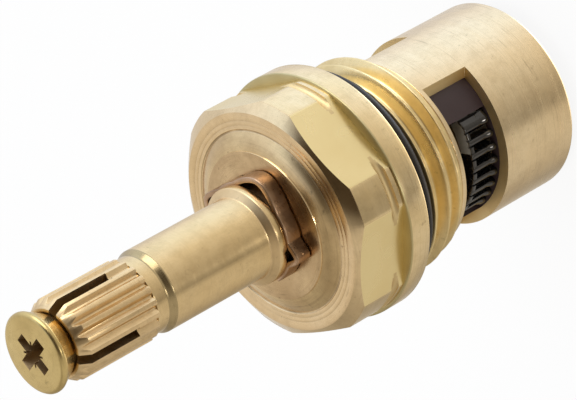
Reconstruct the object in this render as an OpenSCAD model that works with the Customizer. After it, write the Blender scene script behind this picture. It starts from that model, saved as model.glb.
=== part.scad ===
// Quarter-turn ceramic disc tap cartridge: splined spindle, hexagon head body, windowed sleeve and discs.
// Millimetres. The origin is on the axis at the seat seal's underside, and +Z points to the handle.

/* [Handle screw] */
// Diameter of the screw's head
screw_head_d = 7.8; // [7:0.1:8.2]
// Height of the head's straight rim
screw_rim_h = 0.8; // [0.6:0.1:1.4]
// Edge chamfer of the head
screw_edge = 0.26; // [0.1:0.02:0.4]
// Diameter of the screw's shank
screw_d = 4; // [3:0.1:4.4]
// Length of the shank under the head's cone
screw_l = 11; // [7:0.5:14]
// Distance by which the head's face stands above the spindle's end
screw_stand = 2.3; // [2:0.1:3]
// Length of a recess arm, tip to tip
recess_l = 4; // [3:0.1:4.6]
// Width of a recess arm
recess_w = 1.15; // [0.8:0.05:1.3]
// Depth of the recess
recess_depth = 2; // [1:0.1:2.2]
// Turn of the recess about the axis
recess_turn = -2; // [-45:1:45]

/* [Spindle] */
// Diameter over the spline's teeth
spline_d = 7.9; // [7.4:0.1:8]
// Depth of a spline tooth
spline_depth = 0.42; // [0.3:0.02:0.5]
// Number of spline teeth
spline_n = 20; // [16:4:24]
// Length of the spline
spline_l = 8.9; // [8:0.1:12]
// Chamfer at the spline's end, along the axis
spline_lead = 0.9; // [0.5:0.1:1.2]
// Chamfer at the spline's end, along the radius
spline_lead_r = 0.63; // [0.4:0.01:0.8]
// Diameter of the countersink in the spindle's end
sink_d = 6; // [5:0.1:6.2]
// Width of the two crossed saw slots
slot_w = 0.95; // [0.6:0.05:1.1]
// Depth of the saw slots from the spindle's end
slot_l = 6.5; // [4:0.1:8]
// Turn of the slots, the clip and the teeth about the axis
spindle_turn = 28; // [-45:1:45]
// Diameter of the collar behind the spline
collar_d = 7.36; // [7:0.02:7.6]
// Length of the collar with its taper
collar_l = 2; // [1.4:0.1:3]
// Length of the taper from the collar to the shank
taper_l = 0.55; // [0.3:0.05:0.8]
// Diameter of the plain shank
shank_d = 8; // [7.7:0.1:8.6]
// Length of the plain shank
shank_l = 11.4; // [8:0.1:20]
// Length of the flare from the shank to the journal
flare_l = 0.4; // [0.3:0.1:1]
// Diameter of the journal that turns in the head body
journal_d = 9.5; // [9.2:0.1:9.8]
// Length of the journal between the flare and the clip's groove
journal_land = 0.85; // [0.6:0.05:1.4]
// Diameter of the stem under the stop foot
stem_d = 8; // [6:0.1:9]
// Width of the drive blade
blade_w = 3; // [2.4:0.1:3.6]
// Diameter over the drive blade's round ends
blade_l = 12.4; // [11:0.1:12.6]
// Height of the drive blade
blade_h = 4.7; // [4:0.1:5]

/* [Retaining clip] */
// Axial width of the clip's strip
clip_w = 1.6; // [1.2:0.05:1.7]
// Thickness of the clip's strip
clip_t = 0.55; // [0.4:0.05:0.7]
// Outer radius of the tips of the clip's ears
clip_corner = 0.9; // [0.8:0.05:1.2]
// Distance from the axis to the ears' tips
ear_reach = 6.4; // [6:0.05:6.8]
// Half width in degrees of an ear where it leaves the groove
ear_half = 24; // [18:1:30]
// Turn in degrees from one ear to the next
ear_pitch = 86; // [80:1:92]
// Opening between the clip's ends in degrees
clip_open = 90; // [70:5:110]
// Depth of the clip's groove in the journal
clip_groove = 0.35; // [0.2:0.05:0.45]

/* [Head body] */
// Distance across the six flats
hex_af = 22; // [21:0.1:22.4]
// Diameter over the lands between the flats
land_d = 23.6; // [23:0.1:23.8]
// Diameter of the flange
flange_d = 24.1; // [24:0.1:26]
// Thickness of the flange
flange_t = 2.4; // [2:0.1:3]
// Height of the hexagon from the flange to its nose face
hex_h = 5.75; // [5:0.05:8]
// Front chamfer of the hexagon, along the axis
nose_cham_h = 0.75; // [0.4:0.05:1]
// Front chamfer of the hexagon, along the radius
nose_cham_r = 1.2; // [0.6:0.05:1.6]
// Gap between the flange and the relief groove in the lands
relief_from = 0.6; // [0.4:0.1:1]
// Width of the relief groove
relief_w = 0.9; // [0.6:0.1:1.2]
// Depth of the relief groove
relief_depth = 0.4; // [0.2:0.05:0.5]
// Diameter of the boss round the spindle
boss_d = 14.5; // [13:0.1:16]
// Height of the boss above the nose face
boss_h = 0.85; // [0.6:0.05:1.2]
// Diameter of the raised ring round the boss
nose_ring_d = 17.6; // [16.8:0.1:18.4]
// Height of the raised ring above the nose face
nose_ring_h = 0.15; // [0.1:0.05:0.3]
// Major diameter of the half-inch pipe thread
thread_d = 20.955; // [20.6:0.005:21.2]
// Length of the thread
thread_l = 3.6; // [3:0.1:5]
// Width of the flange's seat outside the flange ring
seat_w = 0.75; // [0.5:0.05:1]
// Depth of the flange ring's recess in the flange
ring_recess = 0.15; // [0.1:0.05:0.3]
// Height of the flange's seat above the seat seal's underside
seat_to_flange = 23.7; // [23:0.1:26]
// Bore of the chamber for the stop foot
chamber_d = 15.2; // [14.8:0.1:15.6]
// Thickness of the wall between the chamber and the flange's seat plane
chamber_drop = 1.5; // [1:0.1:2]
// Length of the spigot that carries the sleeve
spigot_l = 1.1; // [0.8:0.05:1.3]
// Edge chamfer of turned corners
edge = 0.2; // [0.1:0.05:0.3]

/* [Quarter-turn stop] */
// Height of the stop foot and of the stop lugs
foot_h = 2.4; // [2:0.1:3]
// Diameter of the foot's core
foot_core_d = 12; // [11.4:0.1:12.4]
// Width of a foot sector in degrees
foot_sector = 46; // [36:1:48]
// Width of a stop lug in degrees
lug_sector = 38; // [30:1:40]
// Radial gap between the lugs and the foot's core or the thrust washer
lug_gap = 0.2; // [0.15:0.05:0.4]
// Thickness of the thrust washer
washer_t = 0.6; // [0.4:0.1:0.8]
// Width of the thrust washer's face
washer_w = 1.1; // [0.8:0.1:1.2]

/* [Sleeve and insert] */
// Wall of the sleeve
sleeve_wall = 1.1; // [1:0.05:1.2]
// Height of the sleeve's lower rim above the seat seal's underside
seal_stand = 1.6; // [1:0.1:2]
// Height of the sleeve's ring above the windows
sleeve_ring = 0.5; // [0.4:0.05:0.8]
// Height of the windows
window_h = 5.6; // [5:0.1:6]
// Width of the bridges between the windows
bridge_w = 7.2; // [6:0.1:9]
// Turn of the bridges about the axis
bridge_turn = 29; // [-45:1:45]
// Wall of the insert
guide_wall = 0.9; // [0.85:0.05:1]
// Height of the insert's base ring
guide_base = 0.6; // [0.4:0.1:0.8]
// Width of one wall of the insert in degrees
guide_sector = 95; // [80:1:105]
// Wall of the comb's ring
comb_wall = 0.85; // [0.75:0.05:0.95]
// Height of the ribs above the comb's ring
rib_reach = 0.8; // [0.6:0.05:0.9]
// Height of the comb
comb_h = 3.1; // [2.6:0.1:3.4]
// Height of the ring that joins the ribs at their upper ends
comb_cap = 0.4; // [0.3:0.05:0.8]
// Number of ribs in one window
rib_n = 8; // [6:1:9]
// Spacing of the ribs in degrees
rib_pitch = 9.7; // [9:0.1:10]
// Width of a rib
rib_w = 0.75; // [0.5:0.05:0.9]

/* [Discs] */
// Thickness of the moving disc
moving_t = 3.4; // [3.2:0.1:3.6]
// Thickness of the fixed disc
fixed_t = 3.1; // [2.9:0.1:3.3]
// Depth of the drive slot in the moving disc
drive_slot = 2; // [1.6:0.1:2.2]
// Inner radius of the disc ports
port_r0 = 2.8; // [2.6:0.1:3.2]
// Outer radius of the disc ports
port_r1 = 6.4; // [5.6:0.1:6.6]
// Width of a port in degrees
port_sector = 76; // [60:1:80]
// Width of the fixed disc's keys
key_w = 4; // [3:0.1:5]
// Height of the keys above the disc's edge
key_h = 0.5; // [0.4:0.05:0.6]

/* [Seals] */
// Section diameter of the flange ring
flange_ring_t = 2; // [1.8:0.05:2]
// Section diameter of the spindle rings
spindle_ring_t = 1.4; // [1.2:0.05:1.5]
// Width of a spindle ring's groove
ring_groove_w = 1.8; // [1.6:0.05:2]
// Distance of the lower ring from the chamber
lower_ring_up = 3; // [2.4:0.1:3.4]
// Distance between the two spindle rings
ring_pitch = 3.8; // [3:0.1:4.4]
// Thickness of the seat seal
seal_t = 3.2; // [2.8:0.1:3.6]
// Wall of the seat seal
seal_wall = 2.5; // [2:0.1:2.8]
// Width of the seal's face on the valve seat
seal_face = 1; // [0.8:0.1:1.4]
// Wall of the ring inside the seal
seal_ring_wall = 0.8; // [0.6:0.1:1]
// Height by which that ring stops short of the valve seat
seal_ring_up = 0.6; // [0.4:0.1:1]

/* [Clearances] */
// Radial clearance of the journal in its bore and of the moving disc in the sleeve
running_gap = 0.05; // [0.02:0.01:0.08]
// Axial clearance of pieces that turn past each other
side_gap = 0.1; // [0.05:0.05:0.2]
// Gap between the ceramic faces
film_gap = 0.02; // [0.01:0.01:0.04]
// Clearance of the stop foot in the chamber
foot_gap = 0.3; // [0.2:0.05:0.4]
// Radial gap between the flange ring and the wall of its recess
recess_gap = 0.15; // [0.1:0.05:0.2]
// Radial gap between the drive blade and the comb
blade_gap = 0.35; // [0.2:0.05:0.4]
// Clearance of keys, blade and slot walls
slot_gap = 0.1; // [0.05:0.05:0.15]

/* [Hidden] */
$fn = 96;
// Amount by which a cutting shape passes the faces it cuts
over = 1;
// Reach of a wedge, past every radius
reach = 40;
// Heights of the disc pack, from the seat upwards
fixed_z = seal_t;
moving_z = fixed_z + fixed_t + film_gap;
moving_top = moving_z + moving_t;
guide_z = moving_top + 2 * side_gap;
comb_z = guide_z + guide_base;
// Heights of the sleeve and the head body
window_z = comb_z;
sleeve_top = window_z + window_h + sleeve_ring;
spigot_z = sleeve_top - spigot_l;
flange_z = seat_to_flange;
thread_top = flange_z - flange_ring_t;
thread_z = thread_top - thread_l;
ceiling_z = flange_z - chamber_drop;
hex_z = flange_z + flange_t;
nose_z = hex_z + hex_h;
boss_z = nose_z + boss_h;
// Heights along the spindle
foot_top = ceiling_z - washer_t - side_gap;
foot_z = foot_top - foot_h;
stem_z = moving_top + side_gap;
blade_z = moving_top - drive_slot + side_gap;
clip_z = boss_z + side_gap;
clip_top = clip_z + clip_w;
flare_z = clip_top + journal_land;
shank_z = flare_z + flare_l;
step_z = shank_z + shank_l;
spline_z = step_z + collar_l;
spindle_top = spline_z + spline_l;
// Heights of the handle screw
screw_top = spindle_top + screw_stand;
rim_z = screw_top - screw_rim_h;
cone_z = rim_z - (screw_head_d - screw_d) / 2;
screw_z = cone_z - screw_l;
// Radii that follow from fits
recess_r = flange_d / 2 - seat_w;
ring_groove_r = recess_r - recess_gap - flange_ring_t;
journal_r = journal_d / 2;
body_bore_r = journal_r + running_gap;
comb_bore_r = blade_l / 2 + blade_gap;
guide_bore_r = comb_bore_r + comb_wall;
rib_r = guide_bore_r + rib_reach;
sleeve_bore_r = guide_bore_r + guide_wall;
sleeve_r = sleeve_bore_r + sleeve_wall;
disc_r = sleeve_bore_r - running_gap;
seal_bore_r = sleeve_bore_r - seal_wall;
clip_seat_r = journal_r - clip_groove;
clip_r = clip_seat_r + side_gap + clip_t;
ear_tip = ear_reach - clip_corner;
foot_r = chamber_d / 2 - foot_gap;
washer_bore_r = body_bore_r + slot_gap;
washer_r = washer_bore_r + washer_w;
ring_seat_r = journal_r - spindle_ring_t;
screw_hole_r = screw_d / 2;
lead_r = spline_d / 2 - spline_lead_r;
sink_r = sink_d / 2;
// Turn of the stop lugs, and of the foot at the closed stop
lug_turn = bridge_turn + 90;
foot_turn = lug_turn + 45;
// Turns of the clip's middle ear and of its opening from the clip's own X
ear_turn = 41;
clip_open_turn = -130;
// Root of an ear's flank, and the flank's outward turn where it runs into the tip's arc
ear_root = polar(clip_r, ear_half);
flank_turn = atan2(ear_root.y, ear_root.x - ear_tip) - acos(clip_corner / norm(ear_root - [ear_tip, 0]));
// Shares of one tooth's angle taken by its crest and by its root
crest_share = 0.34;
root_share = 0.16;

// Point at a radius and an angle
function polar(r, a) = [r * cos(a), r * sin(a)];

// Flat ring between two radii and two heights
module ring(r0, r1, z0, z1) {
    translate([0, 0, z0])
        linear_extrude(z1 - z0)
            difference() {
                circle(r1);
                circle(r0);
            }
}

// Round ring of a seal: inner radius, section diameter and height of its centre
module round_ring(inner_r, section, z) {
    translate([0, 0, z])
        rotate_extrude()
            translate([inner_r + section / 2, 0])
                circle(d = section);
}

// Wedge of a given width about +X, between two heights
module wedge(width, z0, z1) {
    translate([0, 0, z0])
        linear_extrude(z1 - z0)
            polygon([[0, 0], polar(reach, -width / 2), polar(reach, 0), polar(reach, width / 2)]);
}

// Part of a ring that lies in two opposite wedges
module ring_sectors(r0, r1, z0, z1, width, turn) {
    for (side = [0, 180])
        intersection() {
            ring(r0, r1, z0, z1);
            rotate(turn + side)
                wedge(width, z0 - over, z1 + over);
        }
}

// Block along X, centred across the axis
module bar(length, width, z0, z1) {
    translate([-length / 2, -width / 2, z0])
        cube([length, width, z1 - z0]);
}

// Outline of the clip's strip, set in from its outside: a round with three ears
module clip_outline(inset) {
    root = ear_root - polar(inset, flank_turn);
    tip = [ear_tip, 0] + polar(clip_corner - inset, flank_turn);
    circle(clip_r - inset);
    for (i = [-1:1])
        rotate(ear_turn + i * ear_pitch) {
            polygon([[0, 0], [root.x, -root.y], [tip.x, -tip.y], tip, root]);
            translate([ear_tip, 0])
                circle(clip_corner - inset);
        }
}

// Outline of the spline: straight-sided teeth on a round core
module spline_outline() {
    tooth = 360 / spline_n;
    tip_r = spline_d / 2;
    root_r = tip_r - spline_depth;
    polygon([for (i = [0 : spline_n - 1], c = [
        [root_r, -0.5 + root_share / 2], [tip_r, -crest_share / 2],
        [tip_r, crest_share / 2], [root_r, 0.5 - root_share / 2]])
        polar(c[0], tooth * (i + 0.5 + c[1]))]);
}

// Brass countersunk screw with a cross recess
module handle_screw() {
    head_r = screw_head_d / 2;
    color([0.78, 0.66, 0.32])
        difference() {
            rotate_extrude()
                polygon([
                    [0, screw_z], [screw_hole_r, screw_z], [screw_hole_r, cone_z], [head_r, rim_z],
                    [head_r, screw_top - screw_edge], [head_r - screw_edge, screw_top], [0, screw_top]]);
            for (turn = [0, 90])
                rotate(recess_turn + turn)
                    bar(recess_l, recess_w, screw_top - recess_depth, screw_top + over);
        }
}

// Turned outline of the spindle, with the core that the spline stands on
module spindle_turning() {
    core_r = spline_d / 2 - spline_depth - edge;
    lower_z = ceiling_z + lower_ring_up;
    groove = [for (z = [lower_z, lower_z + ring_pitch], p = [
        [journal_r, -0.5], [ring_seat_r, -0.5], [ring_seat_r, 0.5], [journal_r, 0.5]])
        [p[0], z + p[1] * ring_groove_w]];
    rotate_extrude()
        polygon(concat(
            [[0, stem_z], [stem_d / 2, stem_z], [stem_d / 2, foot_z], [foot_core_d / 2, foot_z],
             [foot_core_d / 2, foot_top], [journal_r, foot_top]],
            groove,
            [[journal_r, clip_z], [clip_seat_r, clip_z], [clip_seat_r, clip_top], [journal_r, clip_top],
             [journal_r, flare_z], [shank_d / 2, shank_z], [shank_d / 2, step_z],
             [collar_d / 2, step_z + taper_l], [collar_d / 2, spline_z],
             [core_r, spline_z], [core_r, spindle_top - spline_lead], [0, spindle_top - spline_lead]]));
}

// Splined end with its lead chamfer, whose cone runs on past the teeth
module spline_end() {
    cone_r = lead_r + 2 * spline_lead_r;
    intersection() {
        translate([0, 0, spline_z])
            linear_extrude(spline_l)
                spline_outline();
        rotate_extrude()
            polygon([[0, spline_z - over], [cone_r, spline_z - over], [cone_r, spindle_top - 2 * spline_lead],
                     [lead_r, spindle_top], [0, spindle_top]]);
    }
}

// Brass spindle: spline, shank, journal, stop foot, stem and drive blade in one piece
module spindle() {
    color([0.85, 0.72, 0.45])
        difference() {
            union() {
                spindle_turning();
                rotate(spindle_turn)
                    spline_end();
                ring_sectors(foot_core_d / 2 - over, foot_r, foot_z, foot_top, foot_sector, foot_turn);
                translate([0, 0, blade_z])
                    rotate(bridge_turn)
                        linear_extrude(blade_h)
                            intersection() {
                                circle(blade_l / 2);
                                square([blade_l + over, blade_w], center = true);
                            }
            }
            translate([0, 0, screw_z - over])
                cylinder(r = screw_hole_r, h = spindle_top - screw_z + 2 * over);
            translate([0, 0, spindle_top - sink_r + screw_hole_r])
                cylinder(r1 = screw_hole_r, r2 = sink_r + over, h = sink_r - screw_hole_r + over);
            for (turn = [0, 90])
                rotate(spindle_turn + turn)
                    bar(spline_d + over, slot_w, spindle_top - slot_l, spindle_top + over);
        }
}

// Sprung clip with three ears, open on the side away from them
module retaining_clip() {
    color([0.62, 0.40, 0.27])
        translate([0, 0, clip_z])
            rotate(spindle_turn - 45)
                difference() {
                    linear_extrude(clip_w)
                        difference() {
                            clip_outline(0);
                            clip_outline(clip_t);
                        }
                    rotate(clip_open_turn)
                        wedge(clip_open, -over, clip_w + over);
                }
}

// Upper seal on the spindle's journal
module upper_o_ring() {
    color([0.09, 0.09, 0.10])
        round_ring(ring_seat_r, spindle_ring_t, ceiling_z + lower_ring_up + ring_pitch);
}

// Lower seal on the spindle's journal
module lower_o_ring() {
    color([0.09, 0.09, 0.10])
        round_ring(ring_seat_r, spindle_ring_t, ceiling_z + lower_ring_up);
}

// Turned outline of the head body with its bore and chamber
module head_turning() {
    flange_r = flange_d / 2;
    land_r = land_d / 2;
    thread_r = thread_d / 2;
    relief_z = hex_z + relief_from;
    relief_r = land_r - relief_depth;
    rotate_extrude()
        polygon([
            [chamber_d / 2, spigot_z], [sleeve_bore_r, spigot_z], [sleeve_bore_r, sleeve_top],
            [sleeve_r, sleeve_top], [sleeve_r, thread_z - thread_r + sleeve_r], [thread_r, thread_z],
            [thread_r, thread_top], [ring_groove_r, thread_top], [ring_groove_r, flange_z + ring_recess],
            [recess_r, flange_z + ring_recess], [recess_r, flange_z], [flange_r - edge, flange_z],
            [flange_r, flange_z + edge], [flange_r, hex_z - edge], [flange_r - edge, hex_z],
            [land_r, hex_z], [land_r, relief_z], [relief_r, relief_z],
            [relief_r, relief_z + relief_w], [land_r, relief_z + relief_w], [land_r, nose_z - nose_cham_h],
            [land_r - nose_cham_r, nose_z], [nose_ring_d / 2, nose_z],
            [nose_ring_d / 2, nose_z + nose_ring_h], [boss_d / 2, nose_z + nose_ring_h],
            [boss_d / 2, boss_z - edge],
            [boss_d / 2 - edge, boss_z], [body_bore_r + edge, boss_z], [body_bore_r, boss_z - edge],
            [body_bore_r, ceiling_z], [chamber_d / 2, ceiling_z]]);
}

// Brass head body: hexagon, flange, threaded skirt and the stop lugs in its chamber
module head_body() {
    lug_r = max(foot_core_d / 2, washer_r) + lug_gap;
    color([0.87, 0.76, 0.48]) {
        difference() {
            union() {
                head_turning();
                ring_sectors(lug_r, chamber_d / 2 + edge, foot_z, ceiling_z + edge, lug_sector, lug_turn);
            }
            for (i = [0 : 5])
                rotate(60 * i)
                    translate([hex_af / 2, -land_d / 2, hex_z])
                        cube([land_d, land_d, hex_h + over]);
        }
    }
}

// Rubber ring behind the flange
module flange_o_ring() {
    color([0.09, 0.09, 0.10])
        round_ring(ring_groove_r, flange_ring_t, flange_z + ring_recess - flange_ring_t / 2);
}

// Slip ring between the stop foot and the chamber's ceiling
module thrust_washer() {
    color([0.93, 0.92, 0.88])
        ring(washer_bore_r, washer_r, ceiling_z - washer_t, ceiling_z);
}

// Brass sleeve with two milled windows and notches for the fixed disc's keys
module sleeve() {
    color([0.87, 0.76, 0.50])
        difference() {
            rotate_extrude()
                polygon([
                    [sleeve_bore_r, seal_stand], [sleeve_r - 2 * edge, seal_stand],
                    [sleeve_r, seal_stand + 2 * edge], [sleeve_r, sleeve_top], [sleeve_bore_r, sleeve_top]]);
            for (side = [-1, 1])
                rotate(bridge_turn + side * 90)
                    translate([bridge_w / 2, -reach / 2, window_z])
                        cube([reach, reach, window_h]);
            rotate(bridge_turn)
                bar(2 * (disc_r + key_h + slot_gap), key_w + 2 * slot_gap, seal_stand - over,
                    fixed_z + fixed_t);
        }
}

// Dark plastic liner: a base ring and two walls behind the bridges
module flow_guide() {
    color([0.20, 0.15, 0.17]) {
        ring(guide_bore_r, sleeve_bore_r, guide_z, comb_z);
        ring_sectors(guide_bore_r, sleeve_bore_r, guide_z, spigot_z, guide_sector, bridge_turn);
    }
}

// Black comb: a cap ring, inner walls and ribs that break up the flow in both windows
module noise_comb() {
    slot = PI * rib_r * rib_pitch / 180 - rib_w;
    wall_gap = 180 * slot_gap / (PI * guide_bore_r);
    open_sector = 180 - guide_sector - 2 * wall_gap;
    color([0.06, 0.06, 0.07])
        difference() {
            union() {
                ring(comb_bore_r, guide_bore_r, comb_z, comb_z + comb_h);
                ring_sectors(comb_bore_r, rib_r, comb_z, comb_z + comb_h, open_sector, bridge_turn + 90);
            }
            for (side = [0, 180], i = [0 : rib_n - 2])
                rotate(bridge_turn + 90 + side + rib_pitch * (i - (rib_n - 2) / 2))
                    translate([comb_bore_r - over, -slot / 2, comb_z - over])
                        cube([reach, slot, comb_h - comb_cap + over]);
        }
}

// Ceramic disc turned by the blade, with its two ports across the drive slot
module moving_disc() {
    color([0.90, 0.89, 0.86])
        difference() {
            translate([0, 0, moving_z])
                cylinder(r = disc_r, h = moving_t);
            rotate(bridge_turn)
                bar(reach, blade_w + 2 * slot_gap, moving_top - drive_slot, moving_top + over);
            ring_sectors(port_r0, port_r1, moving_z - over, moving_top + over, port_sector,
                         bridge_turn + 90);
        }
}

// Ceramic disc keyed in the sleeve, with ports that the moving disc covers when closed
module fixed_disc() {
    color([0.86, 0.85, 0.82])
        difference() {
            translate([0, 0, fixed_z])
                rotate(bridge_turn)
                    linear_extrude(fixed_t) {
                        circle(disc_r);
                        square([2 * (disc_r + key_h), key_w], center = true);
                    }
            ring_sectors(port_r0, port_r1, fixed_z - over, fixed_z + fixed_t + over, port_sector,
                         bridge_turn);
        }
}

// Rubber seal that presses on the valve seat
module seat_seal() {
    face_r = seal_bore_r + edge;
    color([0.10, 0.10, 0.11])
        rotate_extrude()
            polygon([
                [seal_bore_r, edge], [face_r, 0], [face_r + seal_face, 0],
                [sleeve_bore_r, seal_stand], [sleeve_bore_r, seal_t], [seal_bore_r, seal_t]]);
}

// Stiff ring that keeps the seal's bore open
module seal_ring() {
    color([0.75, 0.75, 0.74])
        ring(seal_bore_r - seal_ring_wall, seal_bore_r, seal_ring_up, seal_t);
}

handle_screw();
spindle();
retaining_clip();
upper_o_ring();
lower_o_ring();
head_body();
flange_o_ring();
thrust_washer();
sleeve();
flow_guide();
noise_comb();
moving_disc();
fixed_disc();
seat_seal();
seal_ring();
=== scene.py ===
import math

import bmesh
import bpy
from mathutils import Matrix, Vector


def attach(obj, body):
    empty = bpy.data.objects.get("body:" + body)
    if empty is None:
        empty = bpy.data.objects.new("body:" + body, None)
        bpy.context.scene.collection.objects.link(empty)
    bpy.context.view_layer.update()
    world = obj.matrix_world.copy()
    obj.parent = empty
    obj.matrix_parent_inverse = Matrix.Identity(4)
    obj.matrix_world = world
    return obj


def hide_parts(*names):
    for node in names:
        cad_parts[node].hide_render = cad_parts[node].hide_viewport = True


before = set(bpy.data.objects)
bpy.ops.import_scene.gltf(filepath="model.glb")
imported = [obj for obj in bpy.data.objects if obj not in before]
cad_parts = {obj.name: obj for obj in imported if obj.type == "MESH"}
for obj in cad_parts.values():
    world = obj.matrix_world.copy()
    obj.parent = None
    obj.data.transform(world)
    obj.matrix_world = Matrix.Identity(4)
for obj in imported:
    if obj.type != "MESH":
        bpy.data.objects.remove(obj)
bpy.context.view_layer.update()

MM = 0.001

# Camera fitted to the photograph: eye in millimetres, and the picture's right and up in the object's frame
IMAGE_WIDTH = 577
FOCAL_PIXELS = 3700
SENSOR_WIDTH = 36
EYE = Vector((258.72, -80.08, 223.76))
RIGHT = Vector((0.34203, -0.61593, -0.70969))
UP = Vector((0.53200, 0.74948, -0.39405))
BACK = RIGHT.cross(UP)

# Sizes that pieces share, in millimetres, and turns about the axis in degrees, as in the part's source
SLEEVE_R = 9.4
SLEEVE_BORE = 8.3
SLEEVE_TOP = 16.62
JOURNAL_R = 4.75
LUG_TURN = 119
LUG_Z = 19.1
CLIP_Z = 32.8
CLIP_W = 1.6
SPINDLE_TURN = 28
BRIDGE_TURN = 29

# Mesh making: the distance at which points merge, the angles at which edges are sharp or get a break, and
# half the angle between the two mesh lines of an upright wall
MERGE = 1e-4
SHARP = 32
BREAK_LIMIT = 40
WALL_GAP = 0.02

# Finding faces: how near in millimetres a face is to a plane or an edge, and how square it faces a direction
NEAR = 0.01
MARGIN = 0.1
SQUARE_ON = 0.99


def rad(degrees):
    return math.radians(degrees)


def even(count):
    """Angles of equal steps round the axis."""
    return [360 * i / count for i in range(count)]


def off_turn(angle, turn, period):
    """Angle from the nearest of the directions that repeat with a period from a turn."""
    return (angle - turn + period / 2) % period - period / 2


def spot(angle):
    """Angle of a mesh line, in one turn and without the last digits."""
    return round(angle % 360, 4)


def sideways(turn):
    """Level direction at right angles to a turn about the axis."""
    return Vector((-math.sin(rad(turn)), math.cos(rad(turn)), 0))


def new_object(name, data):
    obj = bpy.data.objects.new(name, data)
    bpy.context.scene.collection.objects.link(obj)
    return obj


def shade(mesh, sharp):
    """Soft shading that breaks at corners."""
    mesh.polygons.foreach_set("use_smooth", [True] * len(mesh.polygons))
    mesh.set_sharp_from_angle(angle=rad(sharp))


def finish_mesh(bm, name, sharp=SHARP):
    """Mesh object in metres from a bmesh in millimetres."""
    bmesh.ops.remove_doubles(bm, verts=bm.verts, dist=MERGE)
    bmesh.ops.dissolve_degenerate(bm, edges=bm.edges, dist=MERGE)
    bmesh.ops.recalc_face_normals(bm, faces=bm.faces)
    bmesh.ops.scale(bm, vec=(MM, MM, MM), verts=bm.verts)
    mesh = bpy.data.meshes.new(name)
    bm.to_mesh(mesh)
    bm.free()
    shade(mesh, sharp)
    return new_object(name, mesh)


def rounded(points, steps):
    """Closed outline whose corners, each with a radius of its own, become small curves."""
    out = []
    for i, (x, y, radius) in enumerate(points):
        corner = Vector((x, y))
        back = Vector(points[i - 1][:2]) - corner
        ahead = Vector(points[(i + 1) % len(points)][:2]) - corner
        reach = radius / math.tan(back.angle(ahead) / 2)
        start = corner + back.normalized() * reach
        end = corner + ahead.normalized() * reach
        for k in range(steps + 1):
            t = k / steps
            out.append(tuple((1 - t) ** 2 * start + 2 * t * (1 - t) * corner + t * t * end))
    return out


def turned(name, profile, angles, sharp=SHARP):
    """Closed body whose outline (r, z) at each angle has the same number of points."""
    bm = bmesh.new()
    rings = []
    for angle in angles:
        c, s = math.cos(rad(angle)), math.sin(rad(angle))
        rings.append([bm.verts.new((r * c, r * s, z)) for r, z in profile(angle)])
    for j, ring in enumerate(rings):
        other = rings[(j + 1) % len(rings)]
        for i in range(len(ring)):
            k = (i + 1) % len(ring)
            bm.faces.new((ring[i], other[i], other[k], ring[k]))
    return finish_mesh(bm, name, sharp)


def box(size, centre, turn):
    """Block in millimetres, turned about the axis, to cut with."""
    bm = bmesh.new()
    bmesh.ops.create_cube(bm, size=1)
    bmesh.ops.scale(bm, vec=size, verts=bm.verts)
    bmesh.ops.translate(bm, vec=centre, verts=bm.verts)
    bmesh.ops.rotate(bm, cent=(0, 0, 0), matrix=Matrix.Rotation(rad(turn), 3, "Z"), verts=bm.verts)
    return finish_mesh(bm, "cutter")


def applied(piece, sharp=SHARP):
    """Turns a piece's modifiers into its mesh."""
    graph = bpy.context.evaluated_depsgraph_get()
    mesh = bpy.data.meshes.new_from_object(piece.evaluated_get(graph))
    piece.modifiers.clear()
    piece.data = mesh
    shade(mesh, sharp)


def cut(piece, cutters, sharp=SHARP):
    """Takes the cutters' shapes out of a piece."""
    for cutter in cutters:
        modifier = piece.modifiers.new("cut", "BOOLEAN")
        modifier.operation = "DIFFERENCE"
        modifier.solver = "EXACT"
        modifier.object = cutter
    applied(piece, sharp)
    for cutter in cutters:
        bpy.data.objects.remove(cutter)


def bevelled(piece, width):
    """Breaks a piece's sharp edges with one flat, its width in millimetres."""
    modifier = piece.modifiers.new("edges", "BEVEL")
    modifier.width = width * MM
    modifier.segments = 1
    modifier.limit_method = "ANGLE"
    modifier.angle_limit = rad(BREAK_LIMIT)
    applied(piece)


def stands_for(piece, body, node):
    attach(piece, body)
    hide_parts(node)


def on_wall(face, turn, distance):
    """Whether a face is on one of the two upright planes beside the axis, at a distance in millimetres."""
    across = sideways(turn)
    near = abs(abs(face.center.dot(across)) / MM - distance) < NEAR
    return near and abs(face.normal.dot(across)) > SQUARE_ON


def paint(piece, materials, chosen):
    """Gives a piece its materials, and each face the one that chosen picks from the face, its r and its z."""
    for material in materials:
        piece.data.materials.append(material)
    for face in piece.data.polygons:
        r = face.center.xy.length / MM
        face.material_index = materials.index(chosen(face, r, face.center.z / MM))


# Shader building blocks


def shader(name, colour, metallic, roughness):
    """Material with a Principled shader, and its node tree."""
    material = bpy.data.materials.new(name)
    material.use_nodes = True
    tree = material.node_tree
    bsdf = tree.nodes["Principled BSDF"]
    bsdf.inputs["Base Color"].default_value = (*colour, 1)
    bsdf.inputs["Metallic"].default_value = metallic
    bsdf.inputs["Roughness"].default_value = roughness
    return material, tree, bsdf


def add(tree, kind, **values):
    """Node with its settings and input values given by name."""
    node = tree.nodes.new(kind)
    for key, value in values.items():
        if hasattr(node, key):
            setattr(node, key, value)
        else:
            node.inputs[key.replace("_", " ")].default_value = value
    return node


def math_node(tree, operation, a, b=0):
    node = tree.nodes.new("ShaderNodeMath")
    node.operation = operation
    for socket, value in zip(node.inputs, (a, b)):
        if isinstance(value, (int, float)):
            socket.default_value = value
        else:
            tree.links.new(value, socket)
    return node.outputs[0]


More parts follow.
